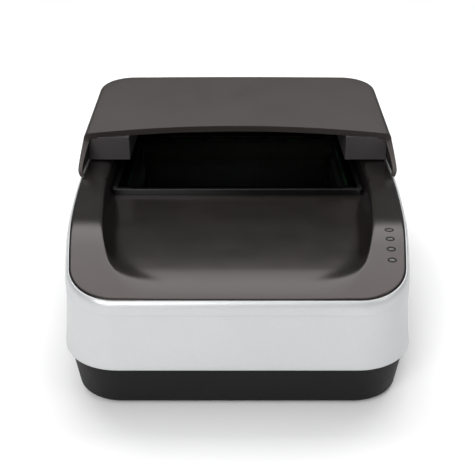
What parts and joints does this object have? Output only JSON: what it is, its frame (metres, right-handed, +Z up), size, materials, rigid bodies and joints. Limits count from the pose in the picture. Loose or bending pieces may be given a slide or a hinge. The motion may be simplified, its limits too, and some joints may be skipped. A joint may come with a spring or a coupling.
{
  "type": "travel document scanner",
  "caption": "Desktop reader for passports and cards, with a scooped front, a glass plate at its back and a hinged light hood over it.",
  "frame": {"origin": "on the desk, under the middle of the scanner's plan", "axes": "+X to the right seen from the user, +Y to the back where the hood hinges, +Z up"},
  "size_m": [0.1728, 0.22, 0.0898],
  "materials": {
    "tray_black": "fine matt texture",
    "shell_silver": "satin silver paint on plastic",
    "panel_charcoal": "satin",
    "bezel_black": "satin",
    "document_glass": "clear",
    "foam_black": "matt foam",
    "circuit_board": "solder resist",
    "housing_black": "matt",
    "mirror": "front-silvered",
    "steel": "zinc plated",
    "chip_black": "moulded",
    "lens_glass": "coated",
    "heat_sink": "extruded",
    "inlet_black": "moulded",
    "ribbon": "flat cable",
    "rubber_black": "matt",
    "lamp_grey": "translucent",
    "diffuser": "milky",
    "bush": "acetal",
    "hood_charcoal": "satin",
    "lining_black": "flocked",
    "block_grey": "matt"
  },
  "bodies": {
    "base": {"base_tray": "tray_black", "side_shell": "shell_silver", "top_panel": "panel_charcoal", "glass_bezel": "bezel_black", "document_glass": "document_glass", "glass_gasket": "foam_black", "reader_antenna": "circuit_board", "optical_housing": "housing_black", "fold_mirror": "mirror", "mirror_pads": "foam_black", "camera_bracket": "steel", "camera_board": "circuit_board", "image_sensor": "chip_black", "lens_barrel": "housing_black", "camera_lens": "lens_glass", "document_sensor": "chip_black", "main_board": "circuit_board", "processor": "chip_black", "heat_sink": "heat_sink", "connector_board": "circuit_board", "usb_socket": "steel", "power_inlet": "inlet_black", "link_ribbon": "ribbon", "camera_ribbon": "ribbon", "board_screws": "steel", "case_screws": "steel", "rubber_feet": "rubber_black", "indicator_lenses": "lamp_grey", "indicator_board": "circuit_board", "hinge_screws": "steel", "light_board_left": "circuit_board", "light_board_right": "circuit_board", "light_diffuser_left": "diffuser", "light_diffuser_right": "diffuser", "hinge_bush_left": "bush", "hinge_bush_right": "bush", "hinge_bracket_left": "steel", "hinge_bracket_right": "steel"},
    "hood": {"hood_shell": "hood_charcoal", "hood_lining": "lining_black", "hood_bumpers": "rubber_black", "hood_screws": "steel", "hood_side_block_left": "block_grey", "hood_side_block_right": "block_grey", "hinge_pin_left": "steel", "hinge_pin_right": "steel"}
  },
  "joints": [
    {"name": "hood_hinge", "type": "hinge", "parent": "base", "child": "hood", "pos_m": [0, 0.1062, 0.063], "axis": [-1, 0, 0], "range_deg": [0, 80]}
  ]
}
